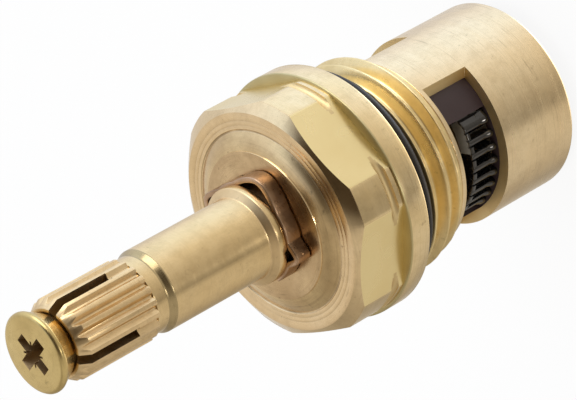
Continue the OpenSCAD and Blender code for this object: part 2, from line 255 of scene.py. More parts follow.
def ramp(tree, value, stops):
    """Colour ramp from (place, grey or colour) pairs."""
    node = tree.nodes.new("ShaderNodeValToRGB")
    bar = node.color_ramp
    while len(bar.elements) < len(stops):
        bar.elements.new(0.5)
    for element, (place, colour) in zip(bar.elements, stops):
        element.position = place
        element.color = (*colour, 1) if isinstance(colour, tuple) else (colour, colour, colour, 1)
    tree.links.new(value, node.inputs["Fac"])
    return node.outputs["Color"]


def rise(tree, value, start, full, most=1.0):
    """Mask that rises from nothing at one level of a texture to its most at another."""
    return ramp(tree, value, [(start, 0.0), (full, most)])


def blend(tree, fac, a, b):
    node = tree.nodes.new("ShaderNodeMix")
    node.data_type = "RGBA"
    for socket, value in ((node.inputs[0], fac), (node.inputs[6], a), (node.inputs[7], b)):
        if isinstance(value, tuple):
            socket.default_value = (*value, 1)
        else:
            tree.links.new(value, socket)
    return node.outputs[2]


def darker(colour, share):
    return tuple(share * c for c in colour)


def noise(tree, vector, detail, rough):
    node = add(tree, "ShaderNodeTexNoise", Scale=1.0, Detail=detail, Roughness=rough)
    tree.links.new(vector, node.inputs["Vector"])
    return node.outputs["Fac"]


def grain(tree, scale, detail, rough):
    """Noise with its own number of steps per millimetre along each axis."""
    coords = tree.nodes.new("ShaderNodeTexCoord")
    mapping = tree.nodes.new("ShaderNodeMapping")
    mapping.inputs["Scale"].default_value = [s / MM for s in scale]
    tree.links.new(coords.outputs["Object"], mapping.inputs["Vector"])
    return noise(tree, mapping.outputs["Vector"], detail, rough)


def cells(tree, per_mm, detail, rough):
    """Noise of an even grain, in steps per millimetre."""
    return grain(tree, (per_mm, per_mm, per_mm), detail, rough)


def turning(tree, across, around, detail, rough):
    """Noise that changes fast across turning marks, in steps per millimetre, and slowly round the axis."""
    coords = tree.nodes.new("ShaderNodeTexCoord")
    flat = add(tree, "ShaderNodeVectorMath", operation="MULTIPLY")
    flat.inputs[1].default_value = (1, 1, 0)
    tree.links.new(coords.outputs["Object"], flat.inputs[0])
    length = add(tree, "ShaderNodeVectorMath", operation="LENGTH")
    tree.links.new(flat.outputs[0], length.inputs[0])
    heading = add(tree, "ShaderNodeVectorMath", operation="NORMALIZE")
    tree.links.new(flat.outputs[0], heading.inputs[0])
    turn = tree.nodes.new("ShaderNodeSeparateXYZ")
    tree.links.new(heading.outputs[0], turn.inputs[0])
    place = tree.nodes.new("ShaderNodeSeparateXYZ")
    tree.links.new(coords.outputs["Object"], place.inputs[0])
    along = math_node(tree, "ADD", length.outputs["Value"], place.outputs["Z"])
    joined = tree.nodes.new("ShaderNodeCombineXYZ")
    tree.links.new(math_node(tree, "MULTIPLY", along, across / MM), joined.inputs[0])
    tree.links.new(math_node(tree, "MULTIPLY", turn.outputs["X"], around), joined.inputs[1])
    tree.links.new(math_node(tree, "MULTIPLY", turn.outputs["Y"], around), joined.inputs[2])
    return noise(tree, joined.outputs[0], detail, rough)


BAND_FADE = [(0.0, 0.0), (0.2, 0.9), (0.8, 0.7), (1.0, 0.0)]


def height_band(tree, low, high):
    """Mask that is full between two heights in millimetres and fades at both ends."""
    coords = tree.nodes.new("ShaderNodeTexCoord")
    place = tree.nodes.new("ShaderNodeSeparateXYZ")
    tree.links.new(coords.outputs["Object"], place.inputs[0])
    span = add(tree, "ShaderNodeMapRange", From_Min=low * MM, From_Max=high * MM)
    tree.links.new(place.outputs["Z"], span.inputs["Value"])
    return ramp(tree, span.outputs["Result"], BAND_FADE)


def vary_roughness(tree, bsdf, texture, levels, roughness, least, most):
    """Roughness that follows a texture between two shares of its mean."""
    stops = [(levels[0], roughness * least), (levels[1], roughness * most)]
    tree.links.new(ramp(tree, texture, stops), bsdf.inputs["Roughness"])


def bump(tree, bsdf, height, strength, distance):
    node = add(tree, "ShaderNodeBump", Strength=strength, Distance=distance * MM)
    tree.links.new(height, node.inputs["Height"])
    tree.links.new(node.outputs["Normal"], bsdf.inputs["Normal"])


# Materials

BAND_SHARE = 0.22
BAND_HEIGHT = 1.6
DULL = 0.75
DARK = 0.5
DIRT = 0.35
WARM_GLOSS = (1.0, 0.84, 0.66, 1)


def turned_brass(name, pale, deep, roughness, marks, depth, stain=0.4, scratch=0.25, hairline=0.25,
                 grime=None):
    """Lathe-turned brass: ring marks, tool bands, a slow change of tint, mottle, stains and scratches.

    Marks are per millimetre, and grime is the band of heights in which dirt has stayed."""
    material, tree, bsdf = shader(name, pale, 1, roughness)
    fine = turning(tree, across=marks, around=1.6, detail=2, rough=0.6)
    band = turning(tree, across=marks * BAND_SHARE, around=0.8, detail=3, rough=0.6)
    scuff = turning(tree, across=3.6, around=2.2, detail=2, rough=0.5)
    hair = turning(tree, across=9.0, around=1.1, detail=2, rough=0.7)
    cloud = cells(tree, per_mm=0.16, detail=3, rough=0.5)
    speck = cells(tree, per_mm=1.1, detail=3, rough=0.65)
    mottle = cells(tree, per_mm=0.8, detail=4, rough=0.7)
    dark = darker(deep, DARK)
    tint = blend(tree, rise(tree, cloud, start=0.35, full=0.68), pale, deep)
    tint = blend(tree, rise(tree, fine, start=0.55, full=0.80, most=0.6), tint, deep)
    tint = blend(tree, rise(tree, mottle, start=0.42, full=0.70, most=0.45), tint, darker(deep, DULL))
    tint = blend(tree, rise(tree, speck, start=0.64, full=0.76, most=stain), tint, dark)
    tint = blend(tree, rise(tree, scuff, start=0.68, full=0.76, most=scratch), tint, dark)
    tint = blend(tree, rise(tree, hair, start=0.56, full=0.74, most=hairline), tint, dark)
    if grime:
        patch = ramp(tree, cells(tree, per_mm=0.3, detail=2, rough=0.6), [(0.40, 0.25), (0.60, 1.0)])
        mask = math_node(tree, "MULTIPLY", height_band(tree, *grime), patch)
        tint = blend(tree, mask, tint, darker(deep, DIRT))
    tree.links.new(tint, bsdf.inputs["Base Color"])
    vary_roughness(tree, bsdf, band, (0.25, 0.75), roughness, least=0.8, most=1.3)
    height = math_node(tree, "ADD", fine, math_node(tree, "MULTIPLY", band, BAND_HEIGHT))
    bump(tree, bsdf, height, strength=1.0, distance=depth)
    return material


def milled_brass(name, pale, deep, roughness):
    """Milled faces with a fine even grain."""
    material, tree, bsdf = shader(name, pale, 1, roughness)
    strokes = grain(tree, (7, 7, 1.2), detail=2, rough=0.5)
    cloud = cells(tree, per_mm=0.25, detail=2, rough=0.5)
    tint = blend(tree, rise(tree, cloud, start=0.35, full=0.7), pale, deep)
    tint = blend(tree, rise(tree, strokes, start=0.55, full=0.75, most=0.5), tint, deep)
    tree.links.new(tint, bsdf.inputs["Base Color"])
    vary_roughness(tree, bsdf, cloud, (0.3, 0.7), roughness, least=0.92, most=1.1)
    return material


def moulded(name, colour, light, roughness, per_mm, depth, metallic=0, specular=0.5):
    """Rubber, plastic, ceramic or plain metal with a fine grain and a little change of tone."""
    material, tree, bsdf = shader(name, colour, metallic, roughness)
    bsdf.inputs["Specular IOR Level"].default_value = specular
    if not metallic:
        bsdf.inputs["Specular Tint"].default_value = WARM_GLOSS
    fine = cells(tree, per_mm=per_mm, detail=3, rough=0.6)
    cloud = cells(tree, per_mm=0.3, detail=2, rough=0.5)
    tint = blend(tree, rise(tree, cloud, start=0.35, full=0.7), colour, light)
    tree.links.new(tint, bsdf.inputs["Base Color"])
    vary_roughness(tree, bsdf, fine, (0.3, 0.7), roughness, least=0.85, most=1.2)
    bump(tree, bsdf, fine, strength=0.7, distance=depth)
    return material


def coat(material, weight, ior, roughness):
    """Puts a clear gloss over a material."""
    inputs = material.node_tree.nodes["Principled BSDF"].inputs
    inputs["Coat Weight"].default_value = weight
    inputs["Coat IOR"].default_value = ior
    inputs["Coat Roughness"].default_value = roughness


BODY_BRASS = turned_brass("body_brass", (0.92, 0.717, 0.41), (0.88, 0.65, 0.325),
                          roughness=0.22, marks=5.0, depth=0.006, stain=0.55)
NOSE_BRASS = turned_brass("nose_brass", (0.86, 0.645, 0.38), (0.79, 0.56, 0.295),
                          roughness=0.25, marks=3.4, depth=0.0035, stain=0.8, scratch=0.4, hairline=0.15,
                          grime=(31.66, 31.83))
# Darker boss: stains, with painted shade round the clip
BOSS_STAIN_AND_SHADE_BRASS = turned_brass("boss_stain_and_shade_brass", (0.75, 0.535, 0.29), (0.54, 0.36, 0.18),
                          roughness=0.27, marks=3.4, depth=0.006, stain=0.9, scratch=0.5, hairline=0.3)
CHAMFER_BRASS = turned_brass("chamfer_brass", (0.88, 0.68, 0.40), (0.84, 0.62, 0.34),
                             roughness=0.15, marks=5.0, depth=0.002, stain=0.5)
# Darker olive shelf: a painted dark reflection
SHELF_SHADE_BRASS = milled_brass("shelf_shade_brass", (0.66, 0.55, 0.29), (0.57, 0.46, 0.22), roughness=0.4)
FLANK_BRASS = turned_brass("flank_brass", (0.85, 0.63, 0.33), (0.66, 0.46, 0.23),
                           roughness=0.21, marks=3.4, depth=0.004, stain=0.9, scratch=0.5, hairline=0.3)
FLAT_BRASS = milled_brass("flat_brass", (0.94, 0.755, 0.385), (0.90, 0.705, 0.34), roughness=0.28)
THREAD_BRASS = turned_brass("thread_brass", (0.93, 0.735, 0.39), (0.86, 0.645, 0.295),
                            roughness=0.29, marks=7.0, depth=0.003, stain=0.5, scratch=0.1)
SLEEVE_BRASS = turned_brass("sleeve_brass", (0.93, 0.737, 0.455), (0.89, 0.67, 0.38),
                            roughness=0.23, marks=6.0, depth=0.006, stain=0.45, scratch=0.5, hairline=0.4)
WINDOW_BRASS = milled_brass("window_brass", (0.84, 0.66, 0.36), (0.76, 0.57, 0.28), roughness=0.5)
SPINDLE_BRASS = turned_brass("spindle_brass", (0.86, 0.64, 0.338), (0.81, 0.58, 0.28),
                             roughness=0.19, marks=3.0, depth=0.003, stain=0.5, hairline=0.15)
SPLINE_BRASS = turned_brass("spline_brass", (0.89, 0.665, 0.37), (0.84, 0.60, 0.31),
                            roughness=0.33, marks=3.0, depth=0.003, stain=0.5, scratch=0.2)
# Darker shoulder: painted shade that stands in for its dark reflection
SHOULDER_SHADE_BRASS = turned_brass("shoulder_shade_brass", (0.58, 0.44, 0.23), (0.42, 0.31, 0.15),
                              roughness=0.24, marks=3.0, depth=0.003)
SCREW_BRASS = turned_brass("screw_brass", (0.74, 0.555, 0.235), (0.62, 0.445, 0.17),
                           roughness=0.26, marks=4.0, depth=0.004, stain=0.6)
# Darker, rougher brass with painted shade, for the slots, bore, clip groove and the screw's recess
RECESS_SHADE_BRASS = turned_brass("recess_shade_brass", (0.58, 0.43, 0.25), (0.44, 0.32, 0.18),
                           roughness=0.45, marks=4.0, depth=0.004)
CLIP_BRONZE = moulded("clip_bronze", (0.37, 0.23, 0.13), (0.64, 0.42, 0.26),
                      roughness=0.30, per_mm=2.0, depth=0.002, metallic=1)
RUBBER = moulded("seal_rubber", (0.013, 0.011, 0.009), (0.018, 0.016, 0.013),
                 roughness=0.42, per_mm=9.0, depth=0.003, specular=0.18)
GUIDE_PLASTIC = moulded("guide_plastic", (0.038, 0.024, 0.026), (0.046, 0.030, 0.032),
                        roughness=0.38, per_mm=8.0, depth=0.002, specular=0.35)
COMB_PLASTIC = moulded("comb_plastic", (0.006, 0.006, 0.006), (0.009, 0.009, 0.009),
                       roughness=0.10, per_mm=3.0, depth=0.003)
coat(COMB_PLASTIC, weight=0.4, ior=1.9, roughness=0.06)
# Grey plastic that paints light on the top of the comb's cap
COMB_CAP_PAINTED_LIGHT = moulded("comb_cap_painted_light", (0.34, 0.34, 0.33), (0.22, 0.22, 0.21),
                   roughness=0.40, per_mm=3.0, depth=0.004)
SLIP_PLASTIC = moulded("slip_plastic", (0.80, 0.78, 0.72), (0.76, 0.74, 0.68),
                       roughness=0.45, per_mm=6.0, depth=0.002)
CERAMIC = moulded("disc_ceramic", (0.80, 0.78, 0.73), (0.76, 0.74, 0.69),
                  roughness=0.22, per_mm=10.0, depth=0.001)
RING_STEEL = moulded("ring_steel", (0.58, 0.58, 0.57), (0.52, 0.52, 0.51),
                     roughness=0.30, per_mm=8.0, depth=0.002, metallic=1)


# Head body: skirt, pipe thread, flange, hexagon, nose and boss, with the stop lugs in its chamber

SKIRT_Z = 15.52
SKIRT_EDGE_R = 0.07
SKIRT_EDGE_Z = 0.08
CHAMBER_R = 7.6
LUG_R = 6.2
LUG_HALF = 19
CEILING_Z = 22.2
BORE_R = 4.8
BORE_CHAMFER = 0.2

# Pipe thread: a crest is at THREAD_REF at turn 0, and the least radius falls a little from ROOT_Z on
THREAD_R = 10.4775
THREAD_PITCH = 1.814
THREAD_DEPTH = 1.1
THREAD_HALF_ANGLE = 27.5
THREAD_START = 17.0
THREAD_TOP = 21.7
THREAD_STEP = 0.045
THREAD_REF = 21.54
THREAD_LEAD = 0.02
CREST_ROUND = 0.05
ROOT_ROUND = 0.09
ROOT_DROP = 0.09
ROOT_Z = 17.6
ROOT_RUN = 1.2

NECK_R = 9.15
SEAT_Z = 23.85
LIP_R = 11.3
FLANGE_R = 12.05
FLANGE_Z = 23.7
# An edge of the flange, nose or boss is a list of small steps from its corner, in radius and height
FLANGE_EDGE = [(0.17, 0.0), (0.05, 0.05), (0.0, 0.18)]

HEX_HALF = 11.0
HEX_Z = 26.1
LAND_R = 11.8
LAND_EDGE = 0.05
RELIEF_R = 11.4
GROOVE_Z = 27.15
GROOVE_HALF = 0.47
GROOVE_DEPTH = 0.42
# Mesh lines of the half-round relief groove, as shares of its half height
GROOVE_ROWS = (-1, -0.97, -0.88, -0.7, -0.4, 0, 0.4, 0.7, 0.88, 0.97, 1)
CHAMFER_Z = 31.1

NOSE_R = 10.6
NOSE_Z = 31.85
NOSE_EDGE = [(0.05, 0.02), (-0.08, 0.0)]
NOSE_GROOVES = (9.85, 9.4)
NOSE_GROOVE_HALF = 0.06
NOSE_GROOVE_DEPTH = 0.015
GUTTER_R = 9.06
GUTTER_WALL = 0.08
GUTTER_DEPTH = 0.06
FLANK_R = 8.8
FLANK_Z = 31.84
FLANK_TOP = 32.54
FLANK_CROWN = 0.09
FLANK_STEPS = 6
BOSS_R = 7.25
BOSS_Z = 32.7
BOSS_EDGE = [(0.01, 0.05), (0.03, 0.01), (0.08, 0.0)]

HEAD_SHARP = 24
FLATS = 6
FLAT_SPAN = 360 / FLATS
FLAT_EDGE = math.degrees(math.acos(HEX_HALF / LAND_R))
RELIEF_EDGE = math.degrees(math.acos(HEX_HALF / RELIEF_R))
CORNER_STEPS = 6
RELIEF_STEPS = 8
FLAT_STEPS = 14
THREAD_STEPS = int((THREAD_TOP - THREAD_START) / THREAD_STEP)
THREAD_ROWS = [THREAD_START + THREAD_STEP * i for i in range(THREAD_STEPS + 1)]


def thread_radius(angle, z):
    """Radius of the right-hand pipe thread, with its chamfered start."""
    turn = (z - THREAD_REF - THREAD_PITCH * angle / 360) / THREAD_PITCH
    off = abs(turn - round(turn)) * THREAD_PITCH
    drop = (math.hypot(off, CREST_ROUND) - CREST_ROUND) / math.tan(rad(THREAD_HALF_ANGLE))
    drop = -ROOT_ROUND * math.log(math.exp(-drop / ROOT_ROUND) + math.exp(-THREAD_DEPTH / ROOT_ROUND))
    lead = SLEEVE_R + max(z - THREAD_START - THREAD_LEAD, 0.0)
    root = SLEEVE_R - ROOT_DROP * min(max((z - ROOT_Z) / ROOT_RUN, 0.0), 1.0)
    return max(min(THREAD_R - drop, lead), root)


def flange_outline():
    """Neck for the sealing ring, and the flange with its rounded edges."""
    neck = [(NECK_R, THREAD_TOP), (NECK_R, SEAT_Z), (LIP_R, SEAT_Z), (LIP_R, FLANGE_Z)]
    low = [(FLANGE_R - inset, FLANGE_Z + lift) for inset, lift in FLANGE_EDGE]
    high = [(FLANGE_R - inset, HEX_Z - lift) for inset, lift in reversed(FLANGE_EDGE)]
    return neck + low + high


def hexagon_outline(angle):
    """Wall of the hexagon at an angle: its relief groove, and the turned chamfer that meets the nose."""
    flat = HEX_HALF / math.cos(rad(off_turn(angle, 0, FLAT_SPAN)))
    wall = min(LAND_R, flat)
    chamfer = CHAMFER_Z + (LAND_R - wall) * (NOSE_Z - CHAMFER_Z) / (LAND_R - NOSE_R)
    groove = [(min(flat, LAND_R - GROOVE_DEPTH * math.sqrt(1 - t * t)), GROOVE_Z + GROOVE_HALF * t)
              for t in GROOVE_ROWS]
    return [(wall, HEX_Z)] + groove + [(wall, chamfer - LAND_EDGE), (wall - LAND_EDGE, chamfer)]


def nose_outline():
    """Nose with its fine grooves, the gutter, the domed flank and the boss."""
    nose = [(NOSE_R + out, NOSE_Z - drop) for out, drop in NOSE_EDGE]
    for r in NOSE_GROOVES:
        nose += [(r + NOSE_GROOVE_HALF, NOSE_Z), (r, NOSE_Z - NOSE_GROOVE_DEPTH),
                 (r - NOSE_GROOVE_HALF, NOSE_Z)]
    gutter_z = NOSE_Z - GUTTER_DEPTH
    nose += [(GUTTER_R, NOSE_Z), (GUTTER_R - GUTTER_WALL, gutter_z), (FLANK_R + GUTTER_WALL, gutter_z)]
    for i in range(FLANK_STEPS + 1):
        t = i / FLANK_STEPS
        rise_z = (FLANK_TOP - FLANK_Z) * t + 4 * FLANK_CROWN * t * (1 - t)
        nose.append((FLANK_R + (BOSS_R - FLANK_R) * t, FLANK_Z + rise_z))
    return nose + [(BOSS_R - inset, BOSS_Z - drop) for inset, drop in BOSS_EDGE]


def head_profile(angle):
    skirt = [(CHAMBER_R, SKIRT_Z), (SLEEVE_BORE, SKIRT_Z), (SLEEVE_BORE, SLEEVE_TOP),
             (SLEEVE_R - SKIRT_EDGE_R, SLEEVE_TOP), (SLEEVE_R, SLEEVE_TOP + SKIRT_EDGE_Z)]
    thread = [(thread_radius(angle, z), z) for z in THREAD_ROWS]
    lug = abs(off_turn(angle, LUG_TURN, 180)) < LUG_HALF
    inner = LUG_R if lug else CHAMBER_R
    bore = [(BORE_R + BORE_CHAMFER, BOSS_Z), (BORE_R, BOSS_Z - BORE_CHAMFER), (BORE_R, CEILING_Z),
            (inner, CEILING_Z), (inner, LUG_Z), (CHAMBER_R, LUG_Z)]
    return skirt + thread + flange_outline() + hexagon_outline(angle) + nose_outline() + bore


def head_angles():
    """Angles that put the flats' edges, the groove's ends and the lugs' walls on mesh lines."""
    spots = set()
    half = FLAT_SPAN / 2
    spans = [(-half, -FLAT_EDGE, CORNER_STEPS), (-FLAT_EDGE, -RELIEF_EDGE, RELIEF_STEPS),
             (-RELIEF_EDGE, RELIEF_EDGE, FLAT_STEPS), (RELIEF_EDGE, FLAT_EDGE, RELIEF_STEPS),
             (FLAT_EDGE, half, CORNER_STEPS)]
    for flat in range(FLATS):
        for low, high, steps in spans:
            spots |= {spot(FLAT_SPAN * flat + low + (high - low) * i / steps) for i in range(steps)}
    for side in (0, 180):
        spots |= {spot(LUG_TURN + side + edge + gap)
                  for edge in (-LUG_HALF, LUG_HALF) for gap in (-WALL_GAP, WALL_GAP)}
    return sorted(spots)


def smooth_thread(mesh):
    """Takes the sharp edges off the thread's flanks."""
    for edge in mesh.edges:
        middle = sum((mesh.vertices[i].co for i in edge.vertices), Vector()) / (2 * MM)
        outside = middle.xy.length > SLEEVE_R - 2 * MARGIN
        if outside and THREAD_START + MARGIN < middle.z < THREAD_TOP - MARGIN:
            edge.use_edge_sharp = False


HEAD_FINISHES = [BODY_BRASS, NOSE_BRASS, FLAT_BRASS, THREAD_BRASS, BOSS_STAIN_AND_SHADE_BRASS, WINDOW_BRASS, CHAMFER_BRASS,
                 FLANK_BRASS, SHELF_SHADE_BRASS]
# How level a face is, from 0 for a wall to 1 for a top, and how far it dips under the land's radius
WALL_LEVEL = 0.05
SHELF_LEVEL = 0.2
CHAMFER_LOW = 0.5
CHAMFER_HIGH = 0.95
EDGE_LEVEL = 0.98
FLAT_DIP = 0.002
GROOVE_DIP = 0.02
FLAT_AIM = 0.5


def head_finish(face, r, z):
    """Finish by place: milled flats, a shelf with a painted dark reflection, bright chamfers, a boss with
    stains and painted shade round the clip, a darker flank with dense flecks, and turned walls.
    """
    level = abs(face.normal.z)
    off = off_turn(math.degrees(math.atan2(face.normal.y, face.normal.x)), 0, FLAT_SPAN)
    flat = level < WALL_LEVEL and abs(off) < FLAT_AIM and NOSE_R < r < LAND_R - FLAT_DIP
    if flat and HEX_Z < z < NOSE_Z:
        return FLAT_BRASS
    if HEX_Z - 2 * MARGIN < z < HEX_Z + NEAR and level > SHELF_LEVEL:
        return SHELF_SHADE_BRASS
    if abs(z - GROOVE_Z) < GROOVE_HALF and r < LAND_R - GROOVE_DIP:
        return WINDOW_BRASS
    if BOSS_R < r < FLANK_R and FLANK_Z < z < FLANK_TOP:
        return FLANK_BRASS
    boss_edge = z > FLANK_TOP and BOSS_R - MARGIN < r < BOSS_R + NEAR and level < EDGE_LEVEL
    sloped = CHAMFER_LOW < level < CHAMFER_HIGH
    if boss_edge or (sloped and r > NOSE_R + MARGIN and CHAMFER_Z < z < NOSE_Z):
        return CHAMFER_BRASS
    if z > FLANK_TOP and r < BOSS_R:
        return BOSS_STAIN_AND_SHADE_BRASS
    if z > CHAMFER_Z - 2 * MARGIN:
        return NOSE_BRASS
    if SLEEVE_TOP + SKIRT_EDGE_Z < z < THREAD_TOP + NEAR and r > SLEEVE_BORE:
        return THREAD_BRASS
    return BODY_BRASS


head = turned("head_body_brass", head_profile, head_angles(), HEAD_SHARP)
stands_for(head, "body", "head_body")
smooth_thread(head.data)
paint(head, HEAD_FINISHES, head_finish)


# Sleeve with its two milled windows and the notches for the fixed disc's keys

SLEEVE_Z = 1.6
SLEEVE_STEPS = 4
SLEEVE_SIDES = 180
SLEEVE_BREAK = 0.05
WINDOW_Z = 13.32
WINDOW_H = 5.6
WINDOW_CUT = (40, 20, WINDOW_H)
BRIDGE_HALF = 3.6
NOTCH_CUT = (17.7, 4.2, 5.7)
NOTCH_Z = 3.45
# Each corner: radius and height, and the radius of its rounding
SLEEVE_CORNERS = [(SLEEVE_BORE, SLEEVE_Z, 0.1), (SLEEVE_R, SLEEVE_Z, 0.3), (SLEEVE_R, SLEEVE_TOP, 0.07),
                  (SLEEVE_BORE, SLEEVE_TOP, 0.02)]
SLEEVE_OUTLINE = rounded(SLEEVE_CORNERS, SLEEVE_STEPS)


def sleeve_finish(face, r, z):
    """Milled finish on the windows' walls, turned finish elsewhere."""
    end = on_wall(face, BRIDGE_TURN, BRIDGE_HALF)
    side = abs(abs(z - WINDOW_Z) - WINDOW_H / 2) < NEAR and abs(face.normal.z) > SQUARE_ON
    return WINDOW_BRASS if end or side else SLEEVE_BRASS


sleeve = turned("sleeve_brass_tube", lambda angle: SLEEVE_OUTLINE, even(SLEEVE_SIDES))
window_y = BRIDGE_HALF + WINDOW_CUT[1] / 2
windows = [box(WINDOW_CUT, (0, side * window_y, WINDOW_Z), BRIDGE_TURN) for side in (-1, 1)]
notch = box(NOTCH_CUT, (0, 0, NOTCH_Z), BRIDGE_TURN)
cut(sleeve, windows + [notch])
bevelled(sleeve, SLEEVE_BREAK)
stands_for(sleeve, "body", "sleeve")
paint(sleeve, [SLEEVE_BRASS, WINDOW_BRASS], sleeve_finish)


# Spindle: drive blade, stop foot, ringed journal, clip groove, flare, shank, collar and slotted spline

LEAST_SINE = 1e-3
BLADE_Z = 7.82
BLADE_HALF = 1.5
BLADE_R = 6.2
STEM_Z = 9.82
BLADE_TOP = 12.52
FOOT_TURN = LUG_TURN + 45
FOOT_HALF = 23
FOOT_R = 7.3
FOOT_CORE = 6.0
FOOT_TOP = 21.5
RING_SEAT = 3.35
RING_GROOVES = [(24.3, 26.1), (28.1, 29.9)]
CLIP_FLOOR = 4.4
CLIP_EDGE_R = 0.05
CLIP_EDGE_Z = 0.06
SHANK_R = 4.0
# Flare, shoulder and collar end are outlines in radius and height
FLARE = [(JOURNAL_R, 35.14), (4.7, 35.25), (4.58, 35.33), (4.14, 35.57), (4.04, 35.64), (SHANK_R, 35.76)]
COLLAR_R = 3.68
SHOULDER = [(SHANK_R, 46.98), (3.98, 47.07), (3.92, 47.19), (3.74, 47.5), (3.69, 47.62), (COLLAR_R, 47.75)]
COLLAR_END_R = 3.6
COLLAR_END = [(COLLAR_R, 48.9), (3.66, 49.0), (COLLAR_END_R, 49.04)]
SPLINE_Z = 49.05
SPLINE_R = 3.95
SPLINE_ROOT = 3.53
SPLINE_TEETH = 20
SPINDLE_TOP = 57.95
LEAD_R = 3.32
LEAD_SLOPE = 0.7
# Small steps in radius and height that round the teeth's two ends and the end of the conical lead
TOOTH_FOOT = [(0.02, 0.01), (0.0, 0.09)]
TOOTH_HEAD = [(0.0, 0.06), (0.03, 0.0)]
LEAD_END = [(0.03, 0.04), (-0.04, 0.0)]
MOUTH_R = 3.04
MOUTH_EDGE_R = 0.06
MOUTH_EDGE_Z = 0.03
SCREW_BORE = 2.0
SINK_Z = 56.95
BORE_Z = 45.55
SLOT_W = 0.95
SLOT_L = 6.5
SLOT_TURNS = (SPINDLE_TURN, SPINDLE_TURN + 90)
SLOT_CUT = (9, SLOT_W, 2 * SLOT_L)
SPINDLE_SHARP = 28
# Half of a tooth from its root to its crest: share of the pitch, and share of the height
TOOTH_SIDE = [(-0.5, 0.0), (-0.43, 0.0), (-0.39, 0.06), (-0.21, 0.86), (-0.17, 0.97), (-0.13, 1.0),
              (0.0, 1.0)]
TOOTH = TOOTH_SIDE + [(-share, height) for share, height in reversed(TOOTH_SIDE[:-1])]


def tooth_radius(angle):
    """Radius of the spline at an angle."""
    share = ((angle - SPINDLE_TURN) * SPLINE_TEETH / 360) % 1 - 0.5
    for (a, low), (b, high) in zip(TOOTH, TOOTH[1:]):
        if a <= share <= b:
            return SPLINE_ROOT + (SPLINE_R - SPLINE_ROOT) * (low + (high - low) * (share - a) / (b - a))


def spline_outline(angle):
    """One line along the spline, from the collar to the end of the conical lead."""
    tooth = tooth_radius(angle)
    lead_z = SPINDLE_TOP - (tooth - LEAD_R) / LEAD_SLOPE
    foot = [(tooth - inset, SPLINE_Z + lift) for inset, lift in TOOTH_FOOT]
    top = [(tooth - inset, lead_z - drop) for inset, drop in TOOTH_HEAD]
    end = [(LEAD_R + out, SPINDLE_TOP - drop) for out, drop in LEAD_END]
    return [(min(tooth, COLLAR_END_R), SPLINE_Z)] + foot + top + end


def spindle_profile(angle):
    side = abs(math.sin(rad(angle - BRIDGE_TURN)))
    blade = min(BLADE_R, BLADE_HALF / max(side, LEAST_SINE))
    stem = max(SHANK_R, blade)
    foot = FOOT_R if abs(off_turn(angle, FOOT_TURN, 180)) < FOOT_HALF else FOOT_CORE
    low = [(0, BLADE_Z), (blade, BLADE_Z), (blade, STEM_Z), (stem, STEM_Z), (stem, BLADE_TOP),
           (SHANK_R, BLADE_TOP), (SHANK_R, LUG_Z), (foot, LUG_Z), (foot, FOOT_TOP), (JOURNAL_R, FOOT_TOP)]
    for start, end in RING_GROOVES:
        low += [(JOURNAL_R, start), (RING_SEAT, start), (RING_SEAT, end), (JOURNAL_R, end)]
    clip_top = CLIP_Z + CLIP_W
    groove = [(JOURNAL_R, CLIP_Z), (CLIP_FLOOR, CLIP_Z), (CLIP_FLOOR, clip_top),
              (JOURNAL_R - CLIP_EDGE_R, clip_top), (JOURNAL_R, clip_top + CLIP_EDGE_Z)]
    mouth = [(MOUTH_R, SPINDLE_TOP), (MOUTH_R - MOUTH_EDGE_R, SPINDLE_TOP - MOUTH_EDGE_Z),
             (SCREW_BORE, SINK_Z), (SCREW_BORE, BORE_Z), (0, BORE_Z)]
    return low + groove + FLARE + SHOULDER + COLLAR_END + spline_outline(angle) + mouth


def spindle_angles():
    """Angles that put the teeth's corners, the blade's corners and the foot's walls on mesh lines."""
    spots = {spot(SPINDLE_TURN + 360 / SPLINE_TEETH * (i + 0.5 + share))
             for i in range(SPLINE_TEETH) for share, height in TOOTH}
    corner = math.degrees(math.asin(BLADE_HALF / BLADE_R))
    for side in (0, 180):
        spots |= {spot(BRIDGE_TURN + side + edge) for edge in (-corner, corner)}
        spots |= {spot(FOOT_TURN + side + edge + gap)
                  for edge in (-FOOT_HALF, FOOT_HALF) for gap in (-WALL_GAP, WALL_GAP)}
    return sorted(spots)


def spindle_finish(face, r, z):
    """Painted shade in slots, bore and clip groove, a darker finish with painted shade on the shoulder, and a
    finish of its own for spline and flare.
    """
    slot_wall = any(on_wall(face, turn, SLOT_W / 2) for turn in SLOT_TURNS) and z > SPINDLE_TOP - SLOT_L
    slot_end = abs(z - SPINDLE_TOP + SLOT_L) < NEAR
    if slot_wall or slot_end or r < SCREW_BORE + NEAR or CLIP_Z < z < CLIP_Z + CLIP_W:
        return RECESS_SHADE_BRASS
    if SHOULDER[0][1] < z < SHOULDER[-1][1]:
        return SHOULDER_SHADE_BRASS
    if z > SPLINE_Z or FLARE[0][1] < z < FLARE[-1][1]:
        return SPLINE_BRASS
    return SPINDLE_BRASS


spindle = turned("spindle_brass_bar", spindle_profile, spindle_angles(), SPINDLE_SHARP)
cut(spindle, [box(SLOT_CUT, (0, 0, SPINDLE_TOP), turn) for turn in SLOT_TURNS], SPINDLE_SHARP)
stands_for(spindle, "spindle", "spindle")
paint(spindle, [SPINDLE_BRASS, RECESS_SHADE_BRASS, SPLINE_BRASS, SHOULDER_SHADE_BRASS], spindle_finish)


# Countersunk handle screw with a cross recess and the ticks between its arms

